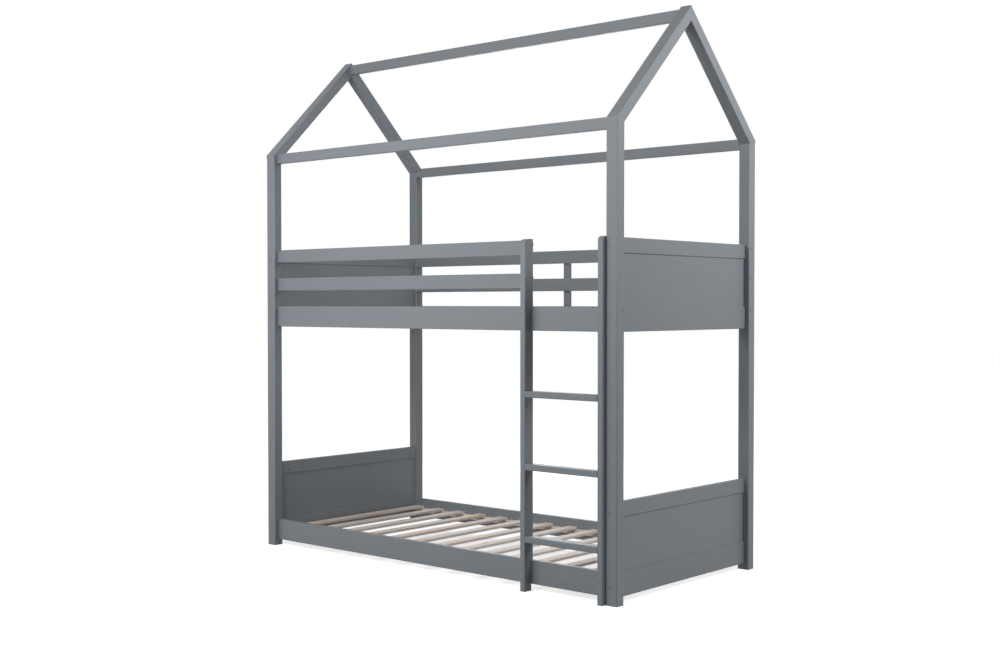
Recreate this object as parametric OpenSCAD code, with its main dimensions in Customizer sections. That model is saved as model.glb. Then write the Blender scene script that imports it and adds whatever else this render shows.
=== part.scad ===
// House-frame bunk bed: two slatted bunks in a posted frame with a gable roof
// and an upright ladder at the right of the front. X runs along the bed, the
// ladder is on the -Y side, and Z = 0 is the floor. The origin lies under the
// middle of the whole bed, ladder included.

/* [Frame] */
// Length over the posts
frame_l = 2040; // [1940:10:2160]
// Width over the posts
frame_w = 993; // [900:1:1100]
// Height of the posts, up to the seats of the rafters
post_h = 1818; // [1700:1:1950]
// Slope of the roof, in degrees
roof_pitch = 44.7; // [42:0.1:48]

/* [Timber] */
// Width of a post or rafter along the bed
post_x = 53; // [50:1:60]
// Depth of a post across the bed, and of a rafter square to its slope
post_y = 46; // [44:1:56]
// Thickness of the rails, end boards and roof beams
board_t = 22; // [20:0.5:25]
// Height of the side rails and of the end boards below the panels
rail_h = 95; // [92:1:105]
// Height of the guard rails and of the end boards above the panels
guard_h = 60; // [58:1:70]
// Height of the ridge beam and eave beams
beam_h = 46; // [44:1:50]
// Thickness of the end panels
panel_t = 12; // [8:1:14]
// Radius on the long edges of the posts, rafters and ladder
post_arris = 4.5; // [1:0.5:6]
// Radius on the long edges of the boards
arris = 3; // [1:0.5:3.5]

/* [Heights] */
// Bottom of the lower side rails
lower_rail_z = 26; // [20:1:60]
// Bottom of the upper side rails
upper_rail_z = 1031; // [980:1:1060]
// Bottom of the middle guard rails
guard_mid_z = 1198; // [1170:1:1220]
// Bottom of the top guard rails and of the upper ends' top boards
guard_top_z = 1329; // [1310:1:1360]
// Bottom of the lower ends' top boards
lower_end_top_z = 330; // [280:1:420]
// How far the tops of the slats lie below the tops of the side rails
slat_drop = 35; // [25:1:40]
// How far the eave beams rise above the posts
eave_up = 22; // [20:1:24]
// How far the top of the ridge beam lies below the peak
ridge_drop = 12.5; // [12:0.5:16]

/* [Setbacks] */
// From the posts' front to the rails' outer face
side_setback = 22.5; // [20:0.5:24]
// From the posts' end to the end boards' outer face
end_setback = 21; // [20:0.5:24]

/* [Slats] */
// Number of slats in each bunk
slat_n = 14; // [10:2:16]
// Distance from one slat to the next
slat_pitch = 144; // [110:1:144]
// Width of a slat
slat_w = 50; // [40:1:60]
// Thickness of a slat
slat_t = 12; // [10:1:20]
// Gap between a slat's end and the rail
slat_gap = 4; // [2:1:5]
// Width of the ledgers that carry the slats
ledger_y = 20; // [18:1:24]
// Height of the ledgers
ledger_z = 22; // [20:1:28]

/* [Ladder] */
// Width over the ladder's stiles
ladder_w = 407.5; // [380:0.5:480]
// How far the stiles stand out in front of the posts
ladder_proud = 18.5; // [14:0.5:22]
// Thickness of a stile along the bed
stile_t = 26; // [24:1:30]
// Depth of a stile across the bed
stile_d = 53; // [52:1:58]
// Height of the stiles
stile_h = 1393; // [1350:1:1450]
// Radius of the stiles' top front corner
stile_nose = 25; // [5:1:30]
// Number of rungs
rung_n = 3; // [3:1:3]
// Height of the lowest rung's underside
rung_z = 194.5; // [180:0.5:210]
// Distance from one rung to the next
rung_step = 287; // [260:1:300]
// Height of a rung
rung_h = 25; // [22:1:30]
// Depth of a rung
rung_d = 50; // [44:1:52]

/* [Rear batten] */
// Width of the batten behind the rear guard rails
batten_w = 36; // [32:1:60]
// Thickness of the batten
batten_t = 18; // [16:1:22]
// Where the batten's middle lies along the bed
batten_x = 11; // [0:0.5:120]

/* [Fasteners] */
// Length of the frame bolts under the head
bolt_l = 90; // [86:1:94]
// Length of the ladder bolts under the head
short_bolt_l = 50; // [48:1:52]
// Length of the bolt from the front right post into the ladder, under the head
post_bolt_l = 68; // [66:1:69]
// Diameter of the bolts' shanks
bolt_d = 6; // [5:0.5:6]
// Diameter of the bolts' heads
bolt_head_d = 13; // [11:0.5:13]
// Height of the bolts' heads
bolt_head_h = 3.5; // [3:0.5:4]
// Diameter of the dowels
dowel_d = 8; // [6:1:8]
// Length of the dowels
dowel_l = 30; // [24:1:32]

/* [Hidden] */
$fn = 48;

paint = "#8f969c";
pine = "#d8bd98";
zinc = "#b9bcc0";
beech = "#c9a87c";

eps = 0.1;             // overcut, so that a cut leaves no skin
play = 0.1;            // added to a hole's diameter over the piece in it
half_l = frame_l / 2;
half_w = frame_w / 2;
inner_l = frame_l - 2 * post_x;   // between the posts along the bed
inner_w = frame_w - 2 * post_y;   // between the posts across the bed
side_mid = side_setback + board_t / 2;    // middle of the rails, from the posts' front
end_mid = end_setback + board_t / 2;      // middle of the end boards, from the posts' end
rail_inner = side_setback + board_t;      // inner face of the rails, from the posts' front
end_inner = end_setback + board_t;        // inner face of the end boards

// Roof
rafter_rise = post_y / cos(roof_pitch);   // upright depth of a rafter
peak_z = post_h + rafter_rise + inner_w / 2 * tan(roof_pitch);
ridge_z = peak_z - ridge_drop - beam_h;
eave_z = post_h + eave_up - beam_h;

// Heights of the joints, in the order in which they climb a post
side_bolt_up = [15.5, 78.5];   // bolts in a side rail, above its bottom
side_dowel_up = 47;            // dowel between them
guard_bolt_up = 42;            // bolt in a guard rail
guard_dowel_up = 17;           // dowel under it
eave_dowel_up = 11;            // dowel from an eave beam into the post
eave_cam_up = 35;              // cam fitting from the eave beam into the rafter
lower_end_bolt_up = 41;        // bolt in the lower end's bottom board
lower_end_dowel_up = 60;
upper_end_bolt_up = 63;        // bolt in the upper end's bottom board
upper_end_dowel_up = 35;
end_top_bolt_up = 16;          // bolt in an end's top board, above the panel groove
end_top_dowel_up = 31;
rail_heights = [lower_rail_z, upper_rail_z];
guard_heights = [guard_mid_z, guard_top_z];
rail_bolt_z = [for (z = rail_heights, up = side_bolt_up) z + up];
rail_dowel_z = [for (z = rail_heights) z + side_dowel_up];
guard_bolt_z = [for (z = guard_heights) z + guard_bolt_up];
guard_dowel_z = [for (z = guard_heights) z + guard_dowel_up];
end_bolt_z = [lower_rail_z + lower_end_bolt_up, lower_end_top_z + end_top_bolt_up,
              upper_rail_z + upper_end_bolt_up, guard_top_z + end_top_bolt_up];
end_dowel_z = [lower_rail_z + lower_end_dowel_up, lower_end_top_z + end_top_dowel_up,
               upper_rail_z + upper_end_dowel_up, guard_top_z + end_top_dowel_up];

// Bolts, nuts and dowels
bolt_hole_d = 7;
bolt_sink_d = bolt_head_d + 1;
bolt_spare = 2.5;              // depth left in front of a bolt's tip
hex_d = 5.8;                   // across the corners of the socket
hex_h = 2.4;
nut_d = 10;
nut_l = 14;
nut_bore = bolt_d + play;
nut_at = bolt_head_h + bolt_l - nut_d / 2;               // from the bolt's head to the nut
short_nut_at = bolt_head_h + short_bolt_l - nut_d / 2;
post_nut_at = bolt_head_h + post_bolt_l - nut_d / 2;
nut_slot_w = 1.4;
nut_slot_h = 1.5;
dowel_hole_l = dowel_l + 1;
seat_dowel_x = [15, 38];       // dowels in a rafter's foot, from the post's end
seat_dowel_y = 14;             // and from the post's front
mitre_dowel_x = 22;            // dowels across the mitre at the peak
mitre_dowel_down = [26.5, 54.5];   // below the peak
sleeve_d = 8;
sleeve_l = 18;
sleeve_head_d = 14;
sleeve_head_h = 2;
sleeve_bore_l = 14;

// Cam fittings that hold the roof beams
cam_d = 15;
cam_h = 12;
cam_axis = 7;                  // depth of the stud below the beam's face
cam_in = 24;                   // from the beam's end to the middle of the cam
cam_slot_w = 2;
cam_slot_h = 3;
stud_d = 5;
stud_root_l = 20;
stud_neck_d = 4;
stud_head_d = 6.5;
stud_head_l = 4;
stud_hole_d = 7;
ridge_cam_up = 30;             // cam fitting in the ridge beam, above its bottom
ridge_dowel_up = 12;
ridge_dowel_y = 5.5;           // dowel in front of the middle, so it lies in one rafter

// Screws
frame_screw_d = 4;
frame_screw_l = 35;
slat_screw_d = 3.5;
slat_screw_l = 30;
rung_screw_d = 4.5;
rung_screw_l = 60;
screw_head = 2;                // head diameter over the shank's
screw_recess = 0.4;            // depth of a screw's cross recess over its arm's width
recess_w = 0.9;
frame_screw_xs = [for (i = [-3:3]) i * 2 * slat_pitch];  // midway between slats
batten_screw_x = [-9, 9];      // from the batten's middle
batten_screw_in = 18;          // from the board's bottom edge

// End panels
groove_d = 8;
groove_w = panel_t + 0.3;
panel_gap = 0.5;

// Slats and ledgers
slat_l = frame_w - 2 * rail_inner - 2 * slat_gap;
slat_xs = [for (i = [0:slat_n - 1]) (i - (slat_n - 1) / 2) * slat_pitch];
slat_screw_y = slat_l / 2 - 8;
ledger_l = inner_l - 2;
ledger_arris = 1.5;

// Ladder
right_stile_x = inner_l / 2 - stile_t;
left_stile_x = inner_l / 2 - ladder_w;
stile_xs = [left_stile_x, right_stile_x];
stile_y = -half_w - ladder_proud;                 // front of the ladder
notch_d = stile_d - ladder_proud - side_setback;  // the stiles lap over the rails
notch_gap = 0.5;
rung_l = ladder_w - 2 * stile_t;
tenon_l = 6;
tenon_y = 36;
tenon_z = 15;
tenon_r = 6;
mortise_gap = 0.1;
rung_screw_y = [-1, 14];       // from the middle of the rung, behind the posts' front
ladder_bolt_z = [lower_rail_z + 65, upper_rail_z + 64];
stile_bolt_y = stile_y + stile_d - notch_d / 2;   // guard rail bolts in the left stile
guard_nut_off = 3;             // their nuts are bored off centre
post_bolt_z = 1240;            // bolt from the front right post into the right stile

// ---- Shapes ----

// Rectangle with rounded corners, from the origin
module rounded(w, h, r) {
    translate([r, 0]) square([w - 2 * r, h]);
    translate([0, r]) square([w, h - 2 * r]);
    for (x = [r, w - r], y = [r, h - r])
        translate([x, y]) circle(r);
}

// Boards with rounded long edges, from their lowest corner
module board_x(at, size, r = arris) {
    translate(at) rotate([90, 0, 90])
        linear_extrude(size.x) rounded(size.y, size.z, r);
}

module board_y(at, size, r = arris) {
    translate(at + [0, size.y, 0]) rotate([90, 0, 0])
        linear_extrude(size.y) rounded(size.x, size.z, r);
}

module board_z(at, size, r = arris) {
    translate(at) linear_extrude(size.z) rounded(size.x, size.y, r);
}

// Cylinder along +X from a point
module rod_x(x, d, l) {
    translate([x, 0, 0]) rotate([0, 90, 0]) cylinder(d = d, h = l);
}

// Cylinder along +Y from a point
module rod_y(at, d, l) {
    translate(at) rotate([-90, 0, 0]) cylinder(d = d, h = l);
}

// ---- Places ----

// The bed in its own frame, moved so that the ladder is within equal bounds
module placed() {
    translate([0, ladder_proud / 2, 0]) children();
}

// A corner of the bed: +X and +Y run inwards from the post's outer edge
module corner(right, rear) {
    mirror([right, 0, 0]) mirror([0, rear, 0])
        translate([-half_l, -half_w, 0]) children();
}

// What runs along X at a corner, laid along Y instead
module turned() {
    mirror([1, -1, 0]) children();
}

module side_bolts_at(heights) {
    for (z = heights) translate([0, side_mid, z]) children();
}

module side_dowels_at(heights) {
    for (z = heights) translate([post_x, side_mid, z]) children();
}

module end_bolts_at(heights) {
    for (z = heights) translate([end_mid, 0, z]) turned() children();
}

module end_dowels_at(heights) {
    for (z = heights) translate([end_mid, post_y, z]) turned() children();
}

module seat_dowels_at() {
    for (x = seat_dowel_x)
        translate([x, seat_dowel_y, post_h]) rotate([0, 90, 0]) children();
}

module mitre_dowels_at() {
    for (down = mitre_dowel_down)
        translate([mitre_dowel_x, half_w, peak_z - down]) turned() children();
}

module eave_dowel_at() {
    side_dowels_at([eave_z + eave_dowel_up]) children();
}

// Cam fitting at an eave, its cam let in from the beam's inner face
module eave_cam_at() {
    translate([post_x, rail_inner - cam_axis, eave_z + eave_cam_up]) children();
}

module ridge_dowel_at() {
    translate([post_x, half_w - ridge_dowel_y, ridge_z + ridge_dowel_up]) children();
}

// Cam fitting at the ridge, its cam let in from the beam's rear face
module ridge_cam_at() {
    translate([post_x, half_w + board_t / 2 - cam_axis, ridge_z + ridge_cam_up]) children();
}

module ladder_bolts_at() {
    for (x = stile_xs, z = ladder_bolt_z)
        translate([x + stile_t / 2, stile_y, z]) turned() children();
}

// Bolts from the left stile's inner face into the front guard rails
module stile_bolts_at() {
    for (z = guard_bolt_z)
        translate([left_stile_x + stile_t, stile_bolt_y, z]) mirror([1, 0, 0]) children();
}

// Bolt from the front right post's end face into the right stile
module post_bolt_at() {
    corner(1, 0) translate([0, post_y / 2, post_bolt_z]) children();
}

module rung_screws_at(heights) {
    middle = stile_y + rung_d / 2;
    for (z = heights, y = rung_screw_y) {
        translate([left_stile_x, middle + y, z + rung_h / 2]) children();
        translate([right_stile_x + stile_t, middle + y, z + rung_h / 2])
            mirror([1, 0, 0]) children();
    }
}

module ledger_screws_at(z) {
    for (x = frame_screw_xs)
        translate([x, -half_w + rail_inner + ledger_y, z + ledger_z / 2])
            rotate([0, 0, -90]) children();
}

module batten_screws_at(heights) {
    for (x = batten_screw_x, z = heights)
        translate([batten_x + x, half_w - side_setback + batten_t, z])
            rotate([0, 0, -90]) children();
}

module slat_screws_at(rail_z) {
    for (x = slat_xs, y = [-slat_screw_y, slat_screw_y])
        translate([x, y, slat_top(rail_z)]) rotate([0, 90, 0]) children();
}

function slat_top(rail_z) = rail_z + rail_h - slat_drop;
function ledger_bottom(rail_z) = slat_top(rail_z) - slat_t - ledger_z;
function rung_bottom(i) = rung_z + i * rung_step;
rung_zs = [for (i = [0:rung_n - 1]) rung_bottom(i)];
batten_screw_z = concat([upper_rail_z + rail_h / 2],
                        [for (z = guard_heights) z + batten_screw_in]);

// ---- Fasteners and the holes for them, along +X from the face they start at ----

module bolt(l) {
    difference() {
        union() {
            rod_x(0, bolt_head_d, bolt_head_h);
            rod_x(bolt_head_h - eps, bolt_d, l + eps);
        }
        translate([-eps, 0, 0]) rotate([0, 90, 0]) cylinder(d = hex_d, h = hex_h + eps, $fn = 6);
    }
}

// Barrel nut across the bolt, let in from +Y
module barrel_nut(at, off = 0) {
    difference() {
        rod_y([at, off - nut_l / 2, 0], nut_d, nut_l);
        rod_x(at - nut_d, nut_bore, 2 * nut_d);
        translate([at - nut_d, off + nut_l / 2 - nut_slot_h, -nut_slot_w / 2])
            cube([2 * nut_d, nut_slot_h + eps, nut_slot_w]);
    }
}

// Bolt hole with its counterbore, and the nut's hole up to the board's inner face
module bolt_cut(l, at, off = 0, inner = board_t / 2) {
    rod_x(-eps, bolt_sink_d, bolt_head_h + eps);
    rod_x(-eps, bolt_hole_d, bolt_head_h + l + bolt_spare);
    rod_y([at, off - nut_l / 2, 0], nut_d + play, nut_l / 2 - off + inner + eps);
}

module frame_bolt() {
    bolt(bolt_l);
}

module frame_nut() {
    barrel_nut(nut_at);
}

module frame_bolt_cut() {
    bolt_cut(bolt_l, nut_at);
}

// Sleeve nut, its head at the origin
module sleeve_nut() {
    difference() {
        union() {
            rod_x(0, sleeve_head_d, sleeve_head_h);
            rod_x(sleeve_head_h - eps, sleeve_d, sleeve_l + eps);
        }
        rod_x(sleeve_head_h + sleeve_l - sleeve_bore_l, nut_bore, sleeve_bore_l + eps);
        translate([-eps, 0, 0]) rotate([0, 90, 0]) cylinder(d = hex_d, h = hex_h + eps, $fn = 6);
    }
}

module sleeve_cut() {
    rod_x(-eps, sleeve_head_d + play, sleeve_head_h + eps);
    rod_x(-eps, sleeve_d + play, sleeve_head_h + sleeve_l + eps);
}

module dowel() {
    rod_x(-dowel_l / 2, dowel_d, dowel_l);
}

module dowel_cut() {
    rod_x(-dowel_hole_l / 2, dowel_d + play, dowel_hole_l);
}

// Stud screwed in from the beam's end plane, with its head in the cam
module cam_stud() {
    rod_x(-stud_root_l, stud_d, stud_root_l);
    rod_x(-eps, stud_neck_d, cam_in + eps);
    rod_x(cam_in - stud_head_l / 2, stud_head_d, stud_head_l);
}

module stud_cut() {
    rod_x(-stud_root_l - eps, stud_d + play, stud_root_l + 2 * eps);
}

// Cam with its face at +Y, crossed by the stud
module cam_lock() {
    difference() {
        rod_y([cam_in, cam_axis - cam_h, 0], cam_d, cam_h);
        rod_x(cam_in - cam_d, stud_hole_d, cam_d + cam_d / 4);
        translate([cam_in - cam_d / 3, cam_axis - cam_slot_h, -cam_slot_w / 2])
            cube([2 * cam_d / 3, cam_slot_h + eps, cam_slot_w]);
        translate([cam_in - cam_slot_w / 2, cam_axis - cam_slot_h, -cam_d / 3])
            cube([cam_slot_w, cam_slot_h + eps, 2 * cam_d / 3]);
    }
}

module cam_cut() {
    rod_y([cam_in, cam_axis - cam_h - eps, 0], cam_d + play, cam_h + 2 * eps);
    rod_x(-eps, stud_hole_d, cam_in);
}

// Countersunk screw with a cross recess
module screw(d, l) {
    head_d = d * screw_head;
    head_h = (head_d - d) / 2;
    difference() {
        union() {
            rotate([0, 90, 0]) cylinder(d1 = head_d, d2 = d, h = head_h);
            rod_x(head_h - eps, d, l - head_h + eps);
        }
        for (turn = [0, 90])
            rotate([turn, 0, 0]) translate([-eps, -d / 2, -recess_w / 2])
                cube([recess_w + screw_recess, d, recess_w]);
    }
}

module screw_cut(d, l) {
    head_d = d * screw_head + play;
    rotate([0, 90, 0]) cylinder(d1 = head_d, d2 = d, h = (head_d - d) / 2);
    translate([-1, 0, 0]) rotate([0, 90, 0]) cylinder(d = head_d, h = 1);
    rod_x(-eps, d + play, l + 2 * eps);
}

// ---- Posts and roof ----

// Post drilled for the side rails, end boards, eave beam and rafter
module post() {
    difference() {
        board_z([0, 0, 0], [post_x, post_y, post_h], post_arris);
        side_bolts_at(rail_bolt_z) frame_bolt_cut();
        side_dowels_at(rail_dowel_z) dowel_cut();
        end_bolts_at(end_bolt_z) frame_bolt_cut();
        end_dowels_at(end_dowel_z) dowel_cut();
        seat_dowels_at() dowel_cut();
        eave_dowel_at() dowel_cut();
    }
}

// Post drilled for the guard rails as well
module guarded_post() {
    difference() {
        post();
        side_bolts_at(guard_bolt_z) frame_bolt_cut();
        side_dowels_at(guard_dowel_z) dowel_cut();
    }
}

module front_left_post() color(paint) placed() corner(0, 0) guarded_post();
module rear_left_post() color(paint) placed() corner(0, 1) guarded_post();
module rear_right_post() color(paint) placed() corner(1, 1) guarded_post();

// The ladder stands where this post's guard rails would be
module front_right_post() color(paint) placed() {
    difference() {
        corner(1, 0) post();
        post_bolt_at() post_bolt_cut();
    }
}

// Rafter: a sloping bar cut level on the post's top, upright at the post's
// front and at the mitre over the middle of the bed
module rafter() {
    over = 2 * post_y;
    difference() {
        intersection() {
            translate([0, 0, post_h]) cube([post_x, half_w, peak_z - post_h]);
            translate([0, post_y, post_h]) rotate([roof_pitch, 0, 0])
                board_y([0, -over, 0], [post_x, half_w / cos(roof_pitch) + over, post_y],
                        post_arris);
        }
        seat_dowels_at() dowel_cut();
        mitre_dowels_at() dowel_cut();
        eave_cam_at() stud_cut();
    }
}

// The front rafters take the ridge beam's dowel and the rear ones its stud
module front_rafter() {
    difference() {
        rafter();
        ridge_dowel_at() dowel_cut();
    }
}

module rear_rafter() {
    difference() {
        rafter();
        mirror_across() ridge_cam_at() stud_cut();
    }
}

// Exchanges front and rear at a corner
module mirror_across() {
    translate([0, frame_w, 0]) mirror([0, 1, 0]) children();
}

module front_left_rafter() color(paint) placed() corner(0, 0) front_rafter();
module front_right_rafter() color(paint) placed() corner(1, 0) front_rafter();
module rear_left_rafter() color(paint) placed() corner(0, 1) rear_rafter();
module rear_right_rafter() color(paint) placed() corner(1, 1) rear_rafter();

module ridge_beam() color(paint) placed() {
    difference() {
        board_x([-inner_l / 2, -board_t / 2, ridge_z], [inner_l, board_t, beam_h]);
        for (right = [0, 1]) corner(right, 0) {
            ridge_dowel_at() dowel_cut();
            ridge_cam_at() cam_cut();
        }
    }
}

module eave_beam() {
    difference() {
        board_x([-inner_l / 2, -half_w + side_setback, eave_z], [inner_l, board_t, beam_h]);
        for (right = [0, 1]) corner(right, 0) {
            eave_dowel_at() dowel_cut();
            eave_cam_at() cam_cut();
        }
    }
}

module front_eave_beam() color(paint) placed() eave_beam();
module rear_eave_beam() color(paint) placed() mirror([0, 1, 0]) eave_beam();

// ---- Side rails and guard rails ----

module side_rail(z) {
    bolts = [for (up = side_bolt_up) z + up];
    difference() {
        board_x([-inner_l / 2, -half_w + side_setback, z], [inner_l, board_t, rail_h]);
        for (right = [0, 1]) corner(right, 0) {
            side_bolts_at(bolts) frame_bolt_cut();
            side_dowels_at([z + side_dowel_up]) dowel_cut();
        }
        ledger_screws_at(ledger_bottom(z)) screw_cut(frame_screw_d, frame_screw_l);
    }
}

// Front rails are drilled for the ladder as well
module front_side_rail(z) {
    difference() {
        side_rail(z);
        ladder_bolts_at() ladder_bolt_cut();
        sleeve_nuts_at() sleeve_cut();
    }
}

module lower_front_side_rail() color(paint) placed() front_side_rail(lower_rail_z);
module upper_front_side_rail() color(paint) placed() front_side_rail(upper_rail_z);
module lower_rear_side_rail() color(paint) placed() mirror([0, 1, 0]) side_rail(lower_rail_z);

module upper_rear_side_rail() color(paint) placed() {
    difference() {
        mirror([0, 1, 0]) side_rail(upper_rail_z);
        batten_screws_at([batten_screw_z[0]]) screw_cut(frame_screw_d, frame_screw_l);
    }
}

// Front guard rail, from the left post to the ladder's left stile
module front_guard_rail(z) {
    difference() {
        board_x([-inner_l / 2, -half_w + side_setback, z],
                [left_stile_x + inner_l / 2, board_t, guard_h]);
        corner(0, 0) {
            side_bolts_at([z + guard_bolt_up]) frame_bolt_cut();
            side_dowels_at([z + guard_dowel_up]) dowel_cut();
        }
        stile_bolts_at() stile_bolt_cut();
    }
}

// Rear guard rail, from post to post
module rear_guard_rail(z) {
    difference() {
        mirror([0, 1, 0])
            board_x([-inner_l / 2, -half_w + side_setback, z], [inner_l, board_t, guard_h]);
        for (right = [0, 1]) corner(right, 1) {
            side_bolts_at([z + guard_bolt_up]) frame_bolt_cut();
            side_dowels_at([z + guard_dowel_up]) dowel_cut();
        }
        batten_screws_at([z + batten_screw_in]) screw_cut(frame_screw_d, frame_screw_l);
    }
}

module front_guard_mid_rail() color(paint) placed() front_guard_rail(guard_mid_z);
module front_guard_top_rail() color(paint) placed() front_guard_rail(guard_top_z);
module rear_guard_mid_rail() color(paint) placed() rear_guard_rail(guard_mid_z);
module rear_guard_top_rail() color(paint) placed() rear_guard_rail(guard_top_z);

module rear_guard_batten() color(paint) placed() {
    difference() {
        board_z([batten_x - batten_w / 2, half_w - side_setback, upper_rail_z],
                [batten_w, batten_t, guard_top_z + guard_h - upper_rail_z]);
        batten_screws_at(batten_screw_z) screw_cut(frame_screw_d, frame_screw_l);
    }
}

// ---- Ends ----

// Board across the left end, bolted and dowelled between the posts
module end_board(z, h, bolt_up, dowel_up) {
    difference() {
        board_y([-half_l + end_setback, -inner_w / 2, z], [board_t, inner_w, h]);
        for (rear = [0, 1]) corner(0, rear) {
            end_bolts_at([z + bolt_up]) frame_bolt_cut();
            end_dowels_at([z + dowel_up]) dowel_cut();
        }
    }
}

// Groove for the panel, from a height upwards
module panel_groove(z) {
    translate([-half_l + end_mid - groove_w / 2, -inner_w / 2 - eps, z])
        cube([groove_w, inner_w + 2 * eps, groove_d + eps]);
}

module end_bottom_board(z, bolt_up, dowel_up) {
    difference() {
        end_board(z, rail_h, bolt_up, dowel_up);
        panel_groove(z + rail_h - groove_d);
    }
}

module end_top_board(z) {
    difference() {
        end_board(z, guard_h, end_top_bolt_up, end_top_dowel_up);
        panel_groove(z - eps);
    }
}

// Panel held in the grooves of the boards below and above it
module end_panel(rail_z, top_z) {
    bottom = rail_z + rail_h - groove_d + panel_gap;
    translate([-half_l + end_mid - panel_t / 2, -inner_w / 2 + panel_gap, bottom])
        cube([panel_t, inner_w - 2 * panel_gap, top_z + groove_d - panel_gap - bottom]);
}

module lower_bottom_board() {
    end_bottom_board(lower_rail_z, lower_end_bolt_up, lower_end_dowel_up);
}

module upper_bottom_board() {
    end_bottom_board(upper_rail_z, upper_end_bolt_up, upper_end_dowel_up);
}

module to_right() {
    mirror([1, 0, 0]) children();
}

module lower_left_end_bottom_rail() color(paint) placed() lower_bottom_board();
module lower_left_end_panel() color(paint) placed() end_panel(lower_rail_z, lower_end_top_z);
module lower_left_end_top_rail() color(paint) placed() end_top_board(lower_end_top_z);
module lower_right_end_bottom_rail() color(paint) placed() to_right() lower_bottom_board();
module lower_right_end_panel() color(paint) placed() to_right() end_panel(lower_rail_z, lower_end_top_z);
module lower_right_end_top_rail() color(paint) placed() to_right() end_top_board(lower_end_top_z);
module upper_left_end_bottom_rail() color(paint) placed() upper_bottom_board();
module upper_left_end_panel() color(paint) placed() end_panel(upper_rail_z, guard_top_z);
module upper_left_end_top_rail() color(paint) placed() end_top_board(guard_top_z);
module upper_right_end_bottom_rail() color(paint) placed() to_right() upper_bottom_board();
module upper_right_end_panel() color(paint) placed() to_right() end_panel(upper_rail_z, guard_top_z);
module upper_right_end_top_rail() color(paint) placed() to_right() end_top_board(guard_top_z);

// ---- Ladder ----

// Side view of a stile: rounded at the top front, notched round both side rails
module stile_outline() {
    difference() {
        union() {
            square([stile_d, stile_h - stile_nose]);
            translate([stile_nose, 0]) square([stile_d - stile_nose, stile_h]);
            translate([stile_nose, stile_h - stile_nose]) circle(stile_nose);
        }
        translate([stile_d - notch_d, -eps])
            square([notch_d + eps, lower_rail_z + rail_h + notch_gap + eps]);
        translate([stile_d - notch_d, upper_rail_z - notch_gap])
            square([notch_d + eps, rail_h + 2 * notch_gap]);
    }
}

// Stile with its lower front corner at the origin, drilled for the ladder bolts
// and mortised on one face for the rungs
module stile(x, mortise_x) {
    difference() {
        intersection() {
            translate([x, stile_y, 0]) rotate([90, 0, 90])
                linear_extrude(stile_t) stile_outline();
            board_z([x, stile_y, 0], [stile_t, stile_d, stile_h], post_arris);
        }
        for (z = rung_zs) mortise(mortise_x, z);
        ladder_bolts_at() ladder_bolt_cut();
        rung_screws_at(rung_zs) screw_cut(rung_screw_d, rung_screw_l);
    }
}

module mortise(x, z) {
    grow = mortise_gap;
    board_x([x, stile_y + (rung_d - tenon_y) / 2 - grow, z + (rung_h - tenon_z) / 2 - grow],
            [tenon_l + 2 * grow, tenon_y + 2 * grow, tenon_z + 2 * grow], tenon_r + grow);
}

module ladder_left_stile() color(paint) placed() {
    difference() {
        stile(left_stile_x, left_stile_x + stile_t - tenon_l - mortise_gap);
        stile_bolts_at() stile_bolt_cut();
    }
}

module ladder_right_stile() color(paint) placed() {
    difference() {
        stile(right_stile_x, right_stile_x - mortise_gap);
        post_bolt_at() post_bolt_cut();
    }
}

// Rung with a stub tenon at each end
module rung(z) {
    left = left_stile_x + stile_t;
    difference() {
        union() {
            board_x([left, stile_y, z], [rung_l, rung_d, rung_h], post_arris);
            board_x([left - tenon_l, stile_y + (rung_d - tenon_y) / 2, z + (rung_h - tenon_z) / 2],
                    [rung_l + 2 * tenon_l, tenon_y, tenon_z], tenon_r);
        }
        rung_screws_at([z]) screw_cut(rung_screw_d, rung_screw_l);
    }
}

module ladder_bottom_rung() color(paint) placed() rung(rung_bottom(0));
module ladder_middle_rung() color(paint) placed() rung(rung_bottom(1));
module ladder_top_rung() color(paint) placed() rung(rung_bottom(2));

// ---- Ledgers and slats ----

module ledger(rail_z) {
    z = ledger_bottom(rail_z);
    difference() {
        board_x([-ledger_l / 2, -half_w + rail_inner, z], [ledger_l, ledger_y, ledger_z],
                ledger_arris);
        ledger_screws_at(z) screw_cut(frame_screw_d, frame_screw_l);
        slat_screws_at(rail_z) screw_cut(slat_screw_d, slat_screw_l);
    }
}

module lower_front_ledger() color(pine) placed() ledger(lower_rail_z);
module lower_rear_ledger() color(pine) placed() mirror([0, 1, 0]) ledger(lower_rail_z);
module upper_front_ledger() color(pine) placed() ledger(upper_rail_z);
module upper_rear_ledger() color(pine) placed() mirror([0, 1, 0]) ledger(upper_rail_z);

module slats(rail_z) {
    difference() {
        for (x = slat_xs)
            board_y([x - slat_w / 2, -slat_l / 2, slat_top(rail_z) - slat_t],
                    [slat_w, slat_l, slat_t]);
        slat_screws_at(rail_z) screw_cut(slat_screw_d, slat_screw_l);
    }
}

module lower_slats() color(pine) placed() slats(lower_rail_z);
module upper_slats() color(pine) placed() slats(upper_rail_z);

// ---- Fasteners in their places ----

module ladder_bolt_cut() {
    rod_x(-eps, bolt_sink_d, bolt_head_h + eps);
    rod_x(-eps, bolt_hole_d, stile_d + board_t);
}

module sleeve_nuts_at() {
    for (x = stile_xs, z = ladder_bolt_z)
        translate([x + stile_t / 2, -half_w + rail_inner, z]) rotate([0, 0, -90]) children();
}

module stile_bolt_cut() {
    bolt_cut(short_bolt_l, short_nut_at, guard_nut_off, rail_inner - side_mid + notch_d / 2);
}

// Its nut is let in from the stile's back
module post_bolt_cut() {
    bolt_cut(post_bolt_l, post_nut_at, 0, stile_d - ladder_proud - post_y / 2);
}

// Corners whose posts carry guard rails: all but the front right one
module guarded_corners() {
    corner(0, 0) children();
    corner(0, 1) children();
    corner(1, 1) children();
}

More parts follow.
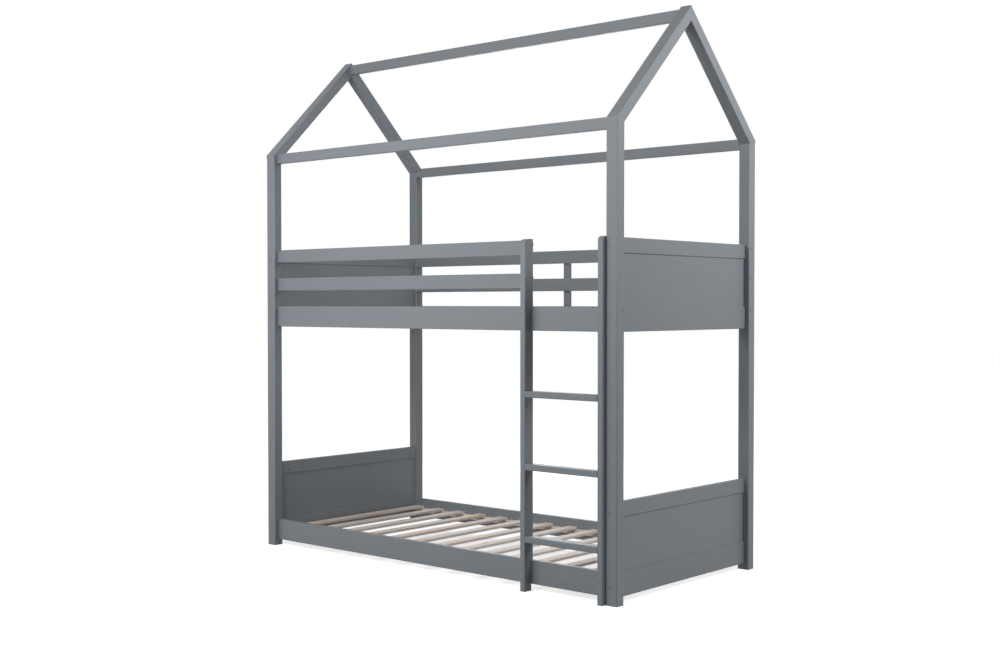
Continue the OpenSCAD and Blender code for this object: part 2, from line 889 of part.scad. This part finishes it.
module all_corners() {
    for (right = [0, 1], rear = [0, 1]) corner(right, rear) children();
}

module frame_bolts() color(zinc) placed() {
    all_corners() side_bolts_at(rail_bolt_z) frame_bolt();
    all_corners() end_bolts_at(end_bolt_z) frame_bolt();
    guarded_corners() side_bolts_at(guard_bolt_z) frame_bolt();
}

module barrel_nuts() color(zinc) placed() {
    all_corners() side_bolts_at(rail_bolt_z) frame_nut();
    all_corners() end_bolts_at(end_bolt_z) frame_nut();
    guarded_corners() side_bolts_at(guard_bolt_z) frame_nut();
    stile_bolts_at() barrel_nut(short_nut_at, guard_nut_off);
    post_bolt_at() barrel_nut(post_nut_at);
}

module ladder_bolts() color(zinc) placed() {
    ladder_bolts_at() bolt(short_bolt_l);
    stile_bolts_at() bolt(short_bolt_l);
    post_bolt_at() bolt(post_bolt_l);
}

module sleeve_nuts() color(zinc) placed() {
    sleeve_nuts_at() sleeve_nut();
}

module dowels() color(beech) placed() {
    all_corners() side_dowels_at(rail_dowel_z) dowel();
    all_corners() end_dowels_at(end_dowel_z) dowel();
    all_corners() seat_dowels_at() dowel();
    all_corners() eave_dowel_at() dowel();
    guarded_corners() side_dowels_at(guard_dowel_z) dowel();
    for (right = [0, 1]) corner(right, 0) {
        mitre_dowels_at() dowel();
        ridge_dowel_at() dowel();
    }
}

module cam_studs() color(zinc) placed() {
    all_corners() eave_cam_at() cam_stud();
    for (right = [0, 1]) corner(right, 0) ridge_cam_at() cam_stud();
}

module cam_locks() color(zinc) placed() {
    all_corners() eave_cam_at() cam_lock();
    for (right = [0, 1]) corner(right, 0) ridge_cam_at() cam_lock();
}

module rung_screws() color(zinc) placed() {
    rung_screws_at(rung_zs) screw(rung_screw_d, rung_screw_l);
}

module slat_screws() color(zinc) placed() {
    for (z = rail_heights) slat_screws_at(z) screw(slat_screw_d, slat_screw_l);
}

module frame_screws() color(zinc) placed() {
    for (z = rail_heights, rear = [0, 1])
        mirror([0, rear, 0]) ledger_screws_at(ledger_bottom(z)) screw(frame_screw_d, frame_screw_l);
    batten_screws_at(batten_screw_z) screw(frame_screw_d, frame_screw_l);
}

front_left_post();
front_right_post();
rear_left_post();
rear_right_post();
front_left_rafter();
front_right_rafter();
rear_left_rafter();
rear_right_rafter();
ridge_beam();
front_eave_beam();
rear_eave_beam();
lower_front_side_rail();
lower_rear_side_rail();
upper_front_side_rail();
upper_rear_side_rail();
lower_left_end_bottom_rail();
lower_left_end_panel();
lower_left_end_top_rail();
lower_right_end_bottom_rail();
lower_right_end_panel();
lower_right_end_top_rail();
upper_left_end_bottom_rail();
upper_left_end_panel();
upper_left_end_top_rail();
upper_right_end_bottom_rail();
upper_right_end_panel();
upper_right_end_top_rail();
front_guard_mid_rail();
front_guard_top_rail();
rear_guard_mid_rail();
rear_guard_top_rail();
rear_guard_batten();
ladder_left_stile();
ladder_right_stile();
ladder_bottom_rung();
ladder_middle_rung();
ladder_top_rung();
lower_front_ledger();
lower_rear_ledger();
upper_front_ledger();
upper_rear_ledger();
lower_slats();
upper_slats();
frame_bolts();
barrel_nuts();
ladder_bolts();
sleeve_nuts();
dowels();
cam_studs();
cam_locks();
rung_screws();
slat_screws();
frame_screws();
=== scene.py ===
"""House-frame bunk bed: satin grey paint on its timber, bare pine slats and zinc fittings."""
import math

import bpy
from mathutils import Euler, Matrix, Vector

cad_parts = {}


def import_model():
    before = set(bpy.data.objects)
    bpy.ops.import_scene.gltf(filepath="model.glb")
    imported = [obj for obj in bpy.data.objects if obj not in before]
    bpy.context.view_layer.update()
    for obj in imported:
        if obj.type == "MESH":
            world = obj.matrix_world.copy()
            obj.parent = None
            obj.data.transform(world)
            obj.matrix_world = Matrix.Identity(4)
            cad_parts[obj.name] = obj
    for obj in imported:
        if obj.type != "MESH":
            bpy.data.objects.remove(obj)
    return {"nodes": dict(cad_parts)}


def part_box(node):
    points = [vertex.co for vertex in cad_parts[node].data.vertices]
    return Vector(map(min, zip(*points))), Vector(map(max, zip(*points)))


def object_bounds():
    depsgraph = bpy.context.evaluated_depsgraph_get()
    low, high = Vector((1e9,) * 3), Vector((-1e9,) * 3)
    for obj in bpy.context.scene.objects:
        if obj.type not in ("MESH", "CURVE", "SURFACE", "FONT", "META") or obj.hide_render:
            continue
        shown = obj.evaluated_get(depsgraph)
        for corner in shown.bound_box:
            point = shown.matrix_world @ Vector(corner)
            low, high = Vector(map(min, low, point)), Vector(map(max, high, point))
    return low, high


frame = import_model()
CAD_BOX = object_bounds()
NODES = frame["nodes"]

# The camera, from the edges of the posts and rails in the photograph
CAMERA_AT = (4.0054, -4.5660, 1.1362)
CAMERA_AZIMUTH = math.radians(41.16)
CAMERA_DOWN = math.radians(1.247)
CAMERA_LENS = 48.63
SENSOR_WIDTH = 36.0

ROOF_PITCH = math.radians(44.7)
SLAT_PITCH = 0.144          # from one slat to the next
EASED_EDGE = 0.0008         # how far the timbers' sharp edges are taken back
EASED_ANGLE = math.radians(50)      # edges blunter than this stay as they are
WELD_REACH = 1e-5

# Colours as 8-bit screen values
PAINT = (145, 152, 158)
PAINT_DARK = (135, 142, 148)
PINE_PALE = (248, 237, 228)
PINE_DARK = (233, 214, 200)
KNOT = (170, 136, 110)
STEEL = (142, 147, 151)
STEEL_DARK = (124, 129, 133)
BEECH = (190, 152, 112)
BEECH_FLECK = (166, 126, 88)
FLOOR = (244, 244, 244)
FLOOR_BOUNCE = (170, 170, 170)      # the floor as the bed is lit by it
WHITE = (1.0, 1.0, 1.0, 1.0)        # linear

# Patterns, in waves to the metre; three numbers are along the timber and both ways across it
PAINT_GRAIN = (3, 160, 160)
PAINT_MOTTLE = 7.0
PAINT_STIPPLE = 900.0
PINE_WANDER = (1.6, 9, 9)
PINE_FIBRE = (6, 420, 420)
PINE_KNOTS = (4.2, 7.0, 7.0)
PINE_RINGS = 260.0
STEEL_SPECK = 1400.0
BEECH_FLECKS = 500.0

# The floor's glow: from the first distance to the second it grows from a share to the whole
GLOW_NEAR, GLOW_FAR, GLOW_SHARE = 0.8, 3.2, 0.70
UNDER_BED_PAINTED_SHADE = 0.65            # the share of that glow that is left under the bed: painted shade there, on top of the bed's real shadow
PAINTED_SHADE_EDGE = (0.60, 0.75)   # where the painted shade ends and the glow comes back, as parts of the way to the bed's outline
FLOOR_SIZE = 60.0

# Each lamp's name, its place, what it points at, its width and height, and its watts
BED_MIDDLE = (0.0, 0.0, 1.1)
LAMPS = (
    ("front", (0.0, -3.26, 2.62), BED_MIDDLE, (1.6, 1.6), 59.5),
    ("front_left", (-1.4, -2.4, 1.5), (0.0, 0.0, 0.5), (1.0, 1.0), 9.2),
    ("right_near", (2.80, 0.75, 2.45), BED_MIDDLE, (1.0, 1.0), 26.0),
    ("right_far", (5.89, 0.0, 3.85), (0.0, 0.0, 0.8), (1.6, 1.6), 64.0),
    ("behind", (-2.2, 3.0, 1.5), BED_MIDDLE, (1.4, 1.4), 20.0),
    ("between_bunks", (-0.35, 0.0, 0.9), (-0.8, 0.0, 0.1), (0.5, 0.6), 0.58),
)

# How the node names of unpainted pieces end
PINE_NODES = ("ledger", "slats")
STEEL_NODES = ("bolts", "nuts", "studs", "locks", "screws")
BEECH_NODES = ("dowels",)

# The turn that carries X onto the way a piece of timber runs
TURNS = {
    "x": (0.0, 0.0, 0.0),
    "y": (0.0, 0.0, math.radians(90)),
    "z": (0.0, math.radians(-90), 0.0),
    "front_slope": (0.0, -ROOF_PITCH, math.radians(90)),
    "rear_slope": (0.0, ROOF_PITCH, math.radians(90)),
}


def linear(colour):
    """8-bit screen colour as the linear colour that nodes take."""
    def one(value):
        value /= 255
        return value / 12.92 if value <= 0.04045 else ((value + 0.055) / 1.055) ** 2.4
    return tuple(one(value) for value in colour) + (1.0,)


# ---- Node helpers ----

def put(tree, value, socket):
    """Links another node's socket to this one, or sets this one's value."""
    if isinstance(value, bpy.types.NodeSocket):
        tree.links.new(value, socket)
    else:
        socket.default_value = value


def add(tree, kind, settings=None, **inputs):
    """A new node. Input names are given with _ for spaces."""
    made = tree.nodes.new(kind)
    for name, value in (settings or {}).items():
        setattr(made, name, value)
    for name, value in inputs.items():
        put(tree, value, made.inputs[name.replace("_", " ")])
    return made


def filled(tree, made, *values):
    """The node, with its first inputs set in order."""
    for value, socket in zip(values, made.inputs):
        put(tree, value, socket)
    return made


def maths(tree, operation, a, b=0.0):
    return filled(tree, add(tree, "ShaderNodeMath", {"operation": operation}), a, b).outputs[0]


def weighted(tree, *terms):
    """The sum of values, each given with its weight."""
    parts = [maths(tree, "MULTIPLY", value, weight) for value, weight in terms]
    total = parts[0]
    for part in parts[1:]:
        total = maths(tree, "ADD", total, part)
    return total


def blend(tree, factor, a, b):
    """Colour a turned towards colour b by factor."""
    made = add(tree, "ShaderNodeMix", {"data_type": "RGBA"})
    for index, value in ((0, factor), (6, a), (7, b)):
        put(tree, value, made.inputs[index])
    return made.outputs[2]


def span(tree, value, low, high, to_low=0.0, to_high=1.0):
    """value, mapped from low..high to to_low..to_high and held there."""
    made = add(tree, "ShaderNodeMapRange", Value=value, From_Min=low, From_Max=high,
               To_Min=to_low, To_Max=to_high)
    return made.outputs[0]


def noise(tree, vector, scale, detail=2.0, roughness=0.5):
    return add(tree, "ShaderNodeTexNoise", Vector=vector, Scale=scale, Detail=detail,
               Roughness=roughness).outputs[0]


def scaled(tree, vector, by):
    made = add(tree, "ShaderNodeVectorMath", {"operation": "MULTIPLY"})
    return filled(tree, made, vector, by).outputs[0]


def combine(tree, x, y, z):
    return filled(tree, add(tree, "ShaderNodeCombineXYZ"), x, y, z).outputs[0]


def on_object(tree):
    """The place on the object, in metres."""
    return add(tree, "ShaderNodeTexCoord").outputs["Object"]


def along(tree, turn):
    """The place on the object, turned so that the timber's length runs along X."""
    return add(tree, "ShaderNodeVectorRotate", {"rotation_type": "EULER_XYZ", "invert": True},
               Vector=on_object(tree), Rotation=turn).outputs[0]


def bump(tree, shader, height, strength, distance):
    made = add(tree, "ShaderNodeBump", Strength=strength, Distance=distance, Height=height)
    tree.links.new(made.outputs[0], shader.inputs["Normal"])


def seen(tree):
    """1 for rays from the camera and for those in reflections and through glass, else 0."""
    path = add(tree, "ShaderNodeLightPath").outputs
    return maths(tree, "MAXIMUM", path["Is Camera Ray"],
                 maths(tree, "MAXIMUM", path["Is Glossy Ray"], path["Is Transmission Ray"]))


def show(tree, output_kind, unseen, in_sight):
    """Ends a tree with one shader for the rays that are seen and one for the light."""
    choice = filled(tree, add(tree, "ShaderNodeMixShader"), seen(tree),
                    unseen.outputs[0], in_sight.outputs[0])
    output = add(tree, output_kind)
    tree.links.new(choice.outputs[0], output.inputs["Surface"])


def empty_tree(owner):
    """The cleared node tree of a material or world."""
    owner.use_nodes = True
    owner.node_tree.nodes.clear()
    return owner.node_tree


def new_material(name):
    """A material whose tree holds its shader and its output."""
    made = bpy.data.materials.new(name)
    tree = empty_tree(made)
    shader = add(tree, "ShaderNodeBsdfPrincipled")
    output = add(tree, "ShaderNodeOutputMaterial")
    tree.links.new(shader.outputs[0], output.inputs["Surface"])
    return made, tree, shader


# ---- Materials ----

def paint(direction):
    """Satin grey paint through which the grain shows faintly, on timber that runs one way."""
    made, tree, shader = new_material("paint_" + direction)
    place = along(tree, TURNS[direction])
    grain = noise(tree, scaled(tree, place, PAINT_GRAIN), 1.0, 4.0, 0.6)
    mottle = noise(tree, place, PAINT_MOTTLE, 3.0)
    stipple = noise(tree, place, PAINT_STIPPLE, 1.0)
    board = add(tree, "ShaderNodeObjectInfo").outputs["Random"]
    tone = weighted(tree, (grain, 0.35), (mottle, 0.45), (board, 0.2))
    colour = blend(tree, span(tree, tone, 0.25, 0.75), linear(PAINT_DARK), linear(PAINT))
    put(tree, colour, shader.inputs["Base Color"])
    put(tree, span(tree, mottle, 0.3, 0.7, 0.42, 0.52), shader.inputs["Roughness"])
    bump(tree, shader, weighted(tree, (grain, 0.8), (stipple, 0.2)), 0.25, 0.00012)
    return made


def pine(direction):
    """Planed pine: growth rings cut along, a few knots, and a tone of its own for each slat."""
    made, tree, shader = new_material("pine_" + direction)
    place = along(tree, TURNS[direction])
    parts = add(tree, "ShaderNodeSeparateXYZ", Vector=place).outputs
    # Each slat has a number, which draws its tone and its place in the tree
    slat = maths(tree, "FLOOR", maths(tree, "DIVIDE", parts[1], SLAT_PITCH))
    chance = add(tree, "ShaderNodeTexWhiteNoise", {"noise_dimensions": "1D"}, W=slat).outputs[0]
    shift = maths(tree, "MULTIPLY", chance, 40.0)
    moved = combine(tree, maths(tree, "ADD", parts[0], shift), parts[1],
                    maths(tree, "ADD", parts[2], maths(tree, "MULTIPLY", shift, 0.01)))

    # The rings lie around a heart that wanders as the tree grew
    wander = noise(tree, scaled(tree, moved, PINE_WANDER), 1.0, 2.0)
    across = maths(tree, "ADD", parts[1], maths(tree, "MULTIPLY", wander, 0.06))
    down = maths(tree, "ADD", parts[2], maths(tree, "MULTIPLY", shift, 0.004))
    radius = maths(tree, "SQRT", maths(tree, "ADD", maths(tree, "MULTIPLY", across, across),
                                       maths(tree, "MULTIPLY", down, down)))
    ring = maths(tree, "FRACT", maths(tree, "MULTIPLY", radius, PINE_RINGS))

    fibre = noise(tree, scaled(tree, moved, PINE_FIBRE), 1.0, 3.0, 0.6)
    tone = maths(tree, "ADD", weighted(tree, (ring, 0.55), (fibre, 0.45)),
                 span(tree, chance, 0.0, 1.0, -0.15, 0.15))
    colour = blend(tree, span(tree, tone, 0.25, 0.95), linear(PINE_PALE), linear(PINE_DARK))
    cells = add(tree, "ShaderNodeTexVoronoi", {"feature": "F1"},
                Vector=scaled(tree, moved, PINE_KNOTS), Scale=1.0)
    knot = span(tree, cells.outputs["Distance"], 0.05, 0.11, 1.0, 0.0)
    colour = blend(tree, maths(tree, "MULTIPLY", knot, 0.85), colour, linear(KNOT))
    put(tree, colour, shader.inputs["Base Color"])
    shader.inputs["Roughness"].default_value = 0.62
    bump(tree, shader, maths(tree, "ADD", ring, fibre), 0.2, 0.0004)
    return made


def steel():
    """Dull zinc plate with a fine speckled sheen."""
    made, tree, shader = new_material("zinc_plate")
    speck = noise(tree, on_object(tree), STEEL_SPECK, 2.0)
    colour = blend(tree, span(tree, speck, 0.3, 0.7), linear(STEEL_DARK), linear(STEEL))
    put(tree, colour, shader.inputs["Base Color"])
    shader.inputs["Metallic"].default_value = 0.5
    put(tree, span(tree, speck, 0.3, 0.7, 0.5, 0.62), shader.inputs["Roughness"])
    return made


def beech():
    """Turned beech with fine flecks."""
    made, tree, shader = new_material("beech")
    fleck = noise(tree, on_object(tree), BEECH_FLECKS, 3.0)
    colour = blend(tree, span(tree, fleck, 0.35, 0.65), linear(BEECH), linear(BEECH_FLECK))
    put(tree, colour, shader.inputs["Base Color"])
    shader.inputs["Roughness"].default_value = 0.6
    return made


def direction_of(name):
    """Which way a piece of timber runs, as a key of TURNS."""
    if name.endswith("rafter"):
        return "front_slope" if name.startswith("front") else "rear_slope"
    if name.endswith("slats"):
        return "y"
    low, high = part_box(name)
    size = high - low
    return "xyz"[max(range(3), key=lambda axis: size[axis])]


def dress_all():
    """Gives each node the material of its kind."""
    paints = {way: paint(way) for way in TURNS}
    pines = {way: pine(way) for way in "xy"}
    metal = steel()
    pegs = beech()
    for name, piece in NODES.items():
        if name.endswith(STEEL_NODES):
            made = metal
        elif name.endswith(BEECH_NODES):
            made = pegs
        elif name.endswith(PINE_NODES):
            made = pines[direction_of(name)]
        else:
            made = paints[direction_of(name)]
        piece.data.materials.clear()
        piece.data.materials.append(made)


def ease_edges():
    """Takes the sharpness off the timbers' edges, such as the ends that a saw left."""
    for name, piece in NODES.items():
        if name.endswith(STEEL_NODES + BEECH_NODES):
            continue
        weld = piece.modifiers.new("weld", "WELD")
        weld.merge_threshold = WELD_REACH
        bevel = piece.modifiers.new("eased_ends", "BEVEL")
        bevel.width = EASED_EDGE
        bevel.segments = 2
        bevel.limit_method = "ANGLE"
        bevel.angle_limit = EASED_ANGLE
        bevel.harden_normals = True


# ---- Floor, light and camera ----

def floor():
    """A pale floor that the camera sees as white, with the bed's shadow on it and painted shade
    under the bed.
    """
    bpy.ops.mesh.primitive_plane_add(size=FLOOR_SIZE, location=(0.0, 0.0, 0.0))
    piece = bpy.context.object
    piece.name = "floor"
    made = bpy.data.materials.new("floor")
    tree = empty_tree(made)
    lit = add(tree, "ShaderNodeBsdfDiffuse", Color=linear(FLOOR))

    # The lamps' light fades away from the bed, and the glow makes up for it
    place = on_object(tree)
    reach = filled(tree, add(tree, "ShaderNodeVectorMath", {"operation": "LENGTH"}), place)
    far = span(tree, reach.outputs["Value"], GLOW_NEAR, GLOW_FAR, GLOW_SHARE, 1.0)
    # Under the bed, part of the glow is kept off the floor: painted shade that makes it darker
    # than the bed's real shadow alone
    sides = add(tree, "ShaderNodeSeparateXYZ", Vector=place).outputs
    bed_half = [abs(end) for end in CAD_BOX[0][:2]]
    outside = maths(tree, "MAXIMUM", *(
        maths(tree, "DIVIDE", maths(tree, "ABSOLUTE", side), half)
        for side, half in zip(sides, bed_half)))
    strength = maths(tree, "MULTIPLY", far, span(tree, outside, *PAINTED_SHADE_EDGE, UNDER_BED_PAINTED_SHADE, 1.0))
    glow = add(tree, "ShaderNodeEmission", Strength=strength)
    both = filled(tree, add(tree, "ShaderNodeAddShader"), lit.outputs[0], glow.outputs[0])

    plain = add(tree, "ShaderNodeBsdfDiffuse", Color=linear(FLOOR_BOUNCE))
    show(tree, "ShaderNodeOutputMaterial", plain, both)
    piece.data.materials.append(made)


def world():
    """White where it is seen, and dark elsewhere, so that only the lamps light the bed."""
    made = bpy.data.worlds.new("studio")
    bpy.context.scene.world = made
    tree = empty_tree(made)
    dark = add(tree, "ShaderNodeBackground", Color=WHITE, Strength=0.0)
    white = add(tree, "ShaderNodeBackground", Color=WHITE, Strength=1.0)
    show(tree, "ShaderNodeOutputWorld", dark, white)


def softbox(name, at, towards, size, watts):
    """A soft rectangular lamp that the camera doesn't see."""
    data = bpy.data.lights.new(name, "AREA")
    data.shape = "RECTANGLE"
    data.size, data.size_y = size
    data.energy = watts
    lamp = bpy.data.objects.new(name, data)
    lamp.location = at
    lamp.rotation_euler = (Vector(towards) - Vector(at)).to_track_quat("-Z", "Y").to_euler()
    lamp.visible_camera = False
    bpy.context.scene.collection.objects.link(lamp)


def camera():
    """The photograph's camera."""
    data = bpy.data.cameras.new("camera")
    data.lens = CAMERA_LENS
    data.sensor_fit = "HORIZONTAL"
    data.sensor_width = SENSOR_WIDTH
    eye = bpy.data.objects.new("camera", data)
    eye.location = CAMERA_AT
    eye.rotation_euler = Euler((math.radians(90) - CAMERA_DOWN, 0.0, CAMERA_AZIMUTH))
    bpy.context.scene.collection.objects.link(eye)
    bpy.context.scene.camera = eye


dress_all()
ease_edges()
floor()
world()
for lamp_facts in LAMPS:
    softbox(*lamp_facts)
camera()
bpy.context.scene.view_settings.view_transform = "Standard"
